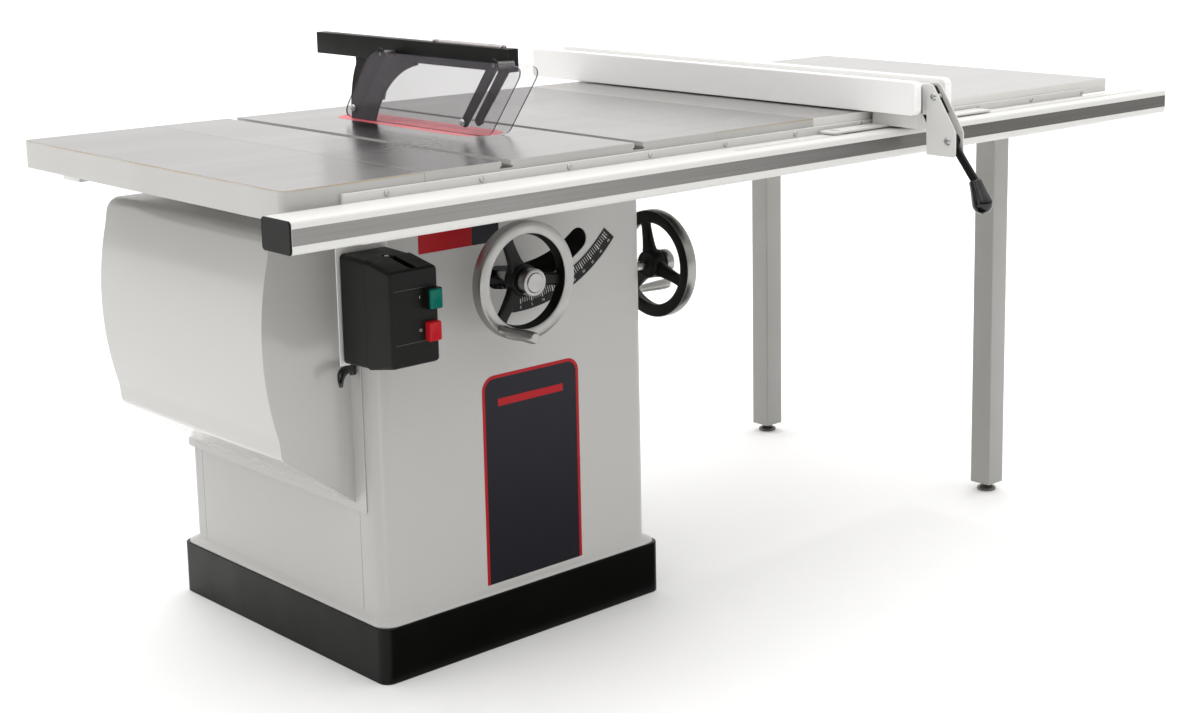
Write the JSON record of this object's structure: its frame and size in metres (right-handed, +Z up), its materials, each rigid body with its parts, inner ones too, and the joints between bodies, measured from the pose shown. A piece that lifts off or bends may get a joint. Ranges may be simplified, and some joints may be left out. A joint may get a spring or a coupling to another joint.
{
  "type": "cabinet table saw",
  "caption": "Floor-standing cabinet table saw with tilting, rising arbor, T-square rip fence, side extension table on legs, split blade guard and handwheels.",
  "frame": {"origin": "on the floor, at the centre of the plinth", "axes": "+Z up, +X right along the front rail (seen by the operator), +Y from the operator's side to the rear"},
  "size_m": [2.16, 1.213, 1.0215],
  "materials": {
    "black_paint": "semi-gloss enamel",
    "cabinet_paint": "gloss enamel, warm off-white",
    "scale_black": "satin, with white graduations",
    "ground_iron": "surface ground, oiled",
    "table_laminate": "laminate with pale edge",
    "insert_red": "gloss red enamel",
    "rail_paint": "gloss enamel, near white",
    "black_plastic": "moulded, slightly rough",
    "leg_paint": "light grey enamel",
    "raw_casting": "sand-cast, painted dark",
    "bright_steel": "turned",
    "guard_black": "black powder coat",
    "motor_black": "satin enamel",
    "belt_rubber": "fabric-backed V-belt rubber",
    "dark_steel": "blackened, worn",
    "blade_steel": "ground disc, carbide tips",
    "handwheel_iron": "polished rim, black enamel spokes",
    "chrome_plate": "polished",
    "fence_poly": "machined polyethylene, slightly translucent",
    "start_green": "moulded",
    "stop_red": "moulded",
    "clear_shield": "clear polycarbonate, violet edge"
  },
  "bodies": {
    "base": {"plinth": "black_paint", "cabinet_shell": "cabinet_paint", "tilt_scale_plate": "scale_black", "dust_port": "black_paint", "main_table": "ground_iron", "left_wing": "ground_iron", "right_wing": "ground_iron", "extension_table": "table_laminate", "throat_insert": "insert_red", "front_rail_tube": "rail_paint", "rail_end_cap": "black_plastic", "front_rail_angle": "rail_paint", "rear_rail_angle": "rail_paint", "leg_front": "leg_paint", "leg_rear": "leg_paint", "switch_hanger": "rail_paint", "switch_base": "black_plastic", "switch_cover": "black_plastic", "trunnion_bracket_front": "raw_casting", "trunnion_bracket_rear": "raw_casting"},
    "cradle": {"trunnion_cradle": "raw_casting", "arm_pivot_shaft": "bright_steel", "guard_spine": "guard_black"},
    "arm": {"arbor_arm": "raw_casting", "motor": "motor_black", "drive_belt_1": "belt_rubber", "drive_belt_2": "belt_rubber", "drive_belt_3": "belt_rubber"},
    "arbor": {"arbor_shaft": "bright_steel", "arbor_pulley": "raw_casting", "arbor_nut": "dark_steel", "saw_blade": "blade_steel"},
    "motor_rotor": {"motor_pulley": "raw_casting"},
    "height_crank": {"height_handwheel": "handwheel_iron", "height_worm_shaft": "bright_steel"},
    "height_knob": {"height_lock_knob": "chrome_plate"},
    "height_grip": {"height_crank_handle": "chrome_plate"},
    "tilt_crank": {"tilt_handwheel": "handwheel_iron", "tilt_worm_shaft": "bright_steel"},
    "tilt_knob": {"tilt_lock_knob": "chrome_plate"},
    "tilt_grip": {"tilt_crank_handle": "chrome_plate"},
    "fence": {"fence_beam": "rail_paint", "fence_face_left": "fence_poly", "fence_face_right": "fence_poly", "fence_head": "rail_paint"},
    "fence_clamp": {"fence_lever": "black_plastic"},
    "start": {"start_button": "start_green"},
    "stop": {"stop_button": "stop_red"},
    "cover": {"motor_cover": "cabinet_paint"},
    "latch": {"cover_latch": "black_plastic"},
    "front_foot": {"foot_front": "dark_steel"},
    "rear_foot": {"foot_rear": "dark_steel"},
    "left_front_link": {"guard_link_left_front": "guard_black"},
    "left_rear_link": {"guard_link_left_rear": "guard_black"},
    "left_shield": {"guard_shield_left": "clear_shield"},
    "right_front_link": {"guard_link_right_front": "guard_black"},
    "right_rear_link": {"guard_link_right_rear": "guard_black"},
    "right_shield": {"guard_shield_right": "clear_shield"},
    "pawls": {"kickback_pawls": "dark_steel"}
  },
  "joints": [
    {"name": "blade_tilt", "type": "hinge", "parent": "base", "child": "cradle", "pos_m": [0, 0, 0.864], "axis": [0, -1, 0], "range_deg": [0, 45]},
    {"name": "blade_raise", "type": "hinge", "parent": "cradle", "child": "arm", "pos_m": [0, 0.1188, 0.7571], "axis": [-1, 0, 0], "range_deg": [0, 27.2]},
    {"name": "arbor_spin", "type": "hinge", "parent": "arm", "child": "arbor", "pos_m": [0, -0.075, 0.7076], "axis": [1, 0, 0], "continuous": true},
    {"name": "motor_spin", "type": "hinge", "parent": "arm", "child": "motor_rotor", "pos_m": [0, 0.06, 0.545], "axis": [1, 0, 0], "continuous": true},
    {"name": "height_crank_turn", "type": "hinge", "parent": "cradle", "child": "height_crank", "pos_m": [-0.0405, 0, 0.6436], "axis": [0, 1, 0], "range_deg": [0, 1769]},
    {"name": "height_knob_turn", "type": "hinge", "parent": "height_crank", "child": "height_knob", "pos_m": [-0.0405, 0, 0.6436], "axis": [0, -1, 0], "range_deg": [0, 180]},
    {"name": "height_grip_spin", "type": "hinge", "parent": "height_crank", "child": "height_grip", "pos_m": [-0.09527, 0, 0.57092], "axis": [0, -1, 0], "continuous": true},
    {"name": "tilt_crank_turn", "type": "hinge", "parent": "base", "child": "tilt_crank", "pos_m": [0, -0.252, 0.596], "axis": [-1, 0, 0], "range_deg": [0, 7562]},
    {"name": "tilt_knob_turn", "type": "hinge", "parent": "tilt_crank", "child": "tilt_knob", "pos_m": [0, -0.252, 0.596], "axis": [1, 0, 0], "range_deg": [0, 180]},
    {"name": "tilt_grip_spin", "type": "hinge", "parent": "tilt_crank", "child": "tilt_grip", "pos_m": [0, -0.18545, 0.53394], "axis": [1, 0, 0], "continuous": true},
    {"name": "fence_slide", "type": "slide", "parent": "base", "child": "fence", "axis": [1, 0, 0], "range_m": [-0.6, 0.593]},
    {"name": "fence_lever_lift", "type": "hinge", "parent": "fence", "child": "fence_clamp", "pos_m": [0, -0.65, 0.821], "axis": [-1, 0, 0], "range_deg": [0, 75]},
    {"name": "start_press", "type": "slide", "parent": "base", "child": "start", "axis": [0, 1, 0], "range_m": [0, 0.005], "stiffness_N_per_m": 800, "springref_m": -0.001},
    {"name": "stop_press", "type": "slide", "parent": "base", "child": "stop", "axis": [0, 1, 0], "range_m": [0, 0.005], "stiffness_N_per_m": 800, "springref_m": -0.001},
    {"name": "motor_cover_open", "type": "hinge", "parent": "base", "child": "cover", "pos_m": [-0.2943, 0.3035, 0], "axis": [0, 0, -1], "range_deg": [0, 110]},
    {"name": "cover_latch_turn", "type": "hinge", "parent": "cover", "child": "latch", "pos_m": [-0.297, -0.254, 0], "axis": [0, 0, 1], "range_deg": [0, 25]},
    {"name": "front_foot_level", "type": "slide", "parent": "base", "child": "front_foot", "axis": [0, 0, 1], "range_m": [-0.015, 0.003]},
    {"name": "rear_foot_level", "type": "slide", "parent": "base", "child": "rear_foot", "axis": [0, 0, 1], "range_m": [-0.015, 0.003]},
    {"name": "left_front_link_swing", "type": "hinge", "parent": "cradle", "child": "left_front_link", "pos_m": [0, -0.3105, 0.992], "axis": [1, 0, 0], "range_deg": [0, 30]},
    {"name": "left_shield_level", "type": "hinge", "parent": "left_front_link", "child": "left_shield", "pos_m": [0, -0.2285, 0.892], "axis": [1, 0, 0], "range_deg": [-30, 0]},
    {"name": "left_rear_link_swing", "type": "hinge", "parent": "cradle", "child": "left_rear_link", "pos_m": [0, 0.007, 0.992], "axis": [1, 0, 0], "range_deg": [0, 30]},
    {"name": "right_shield_lift", "type": "hinge", "parent": "cradle", "child": "right_front_link", "pos_m": [0, -0.256, 0.983], "axis": [1, 0, 0], "range_deg": [0, 55]},
    {"name": "right_shield_level", "type": "hinge", "parent": "right_front_link", "child": "right_shield", "pos_m": [0, -0.174, 0.883], "axis": [1, 0, 0], "range_deg": [-56, 0]},
    {"name": "right_rear_link_swing", "type": "hinge", "parent": "cradle", "child": "right_rear_link", "pos_m": [0, 0.0615, 0.983], "axis": [1, 0, 0], "range_deg": [0, 56]},
    {"name": "pawl_lift", "type": "hinge", "parent": "cradle", "child": "pawls", "pos_m": [0, 0.096, 0.925], "axis": [-1, 0, 0], "range_deg": [0, 25]}
  ],
  "couplings": [
    {"joint": "height_crank_turn", "follows": "blade_raise", "ratio": 65},
    {"joint": "tilt_crank_turn", "follows": "blade_tilt", "ratio": 168},
    {"joint": "motor_spin", "follows": "arbor_spin", "ratio": 0.86162},
    {"joint": "left_front_link_swing", "follows": "blade_tilt", "ratio": 0.62},
    {"joint": "left_shield_level", "follows": "blade_tilt", "ratio": -0.62},
    {"joint": "left_rear_link_swing", "follows": "blade_tilt", "ratio": 0.62},
    {"joint": "right_shield_level", "follows": "right_shield_lift", "ratio": -1},
    {"joint": "right_rear_link_swing", "follows": "right_shield_lift", "ratio": 1}
  ]
}
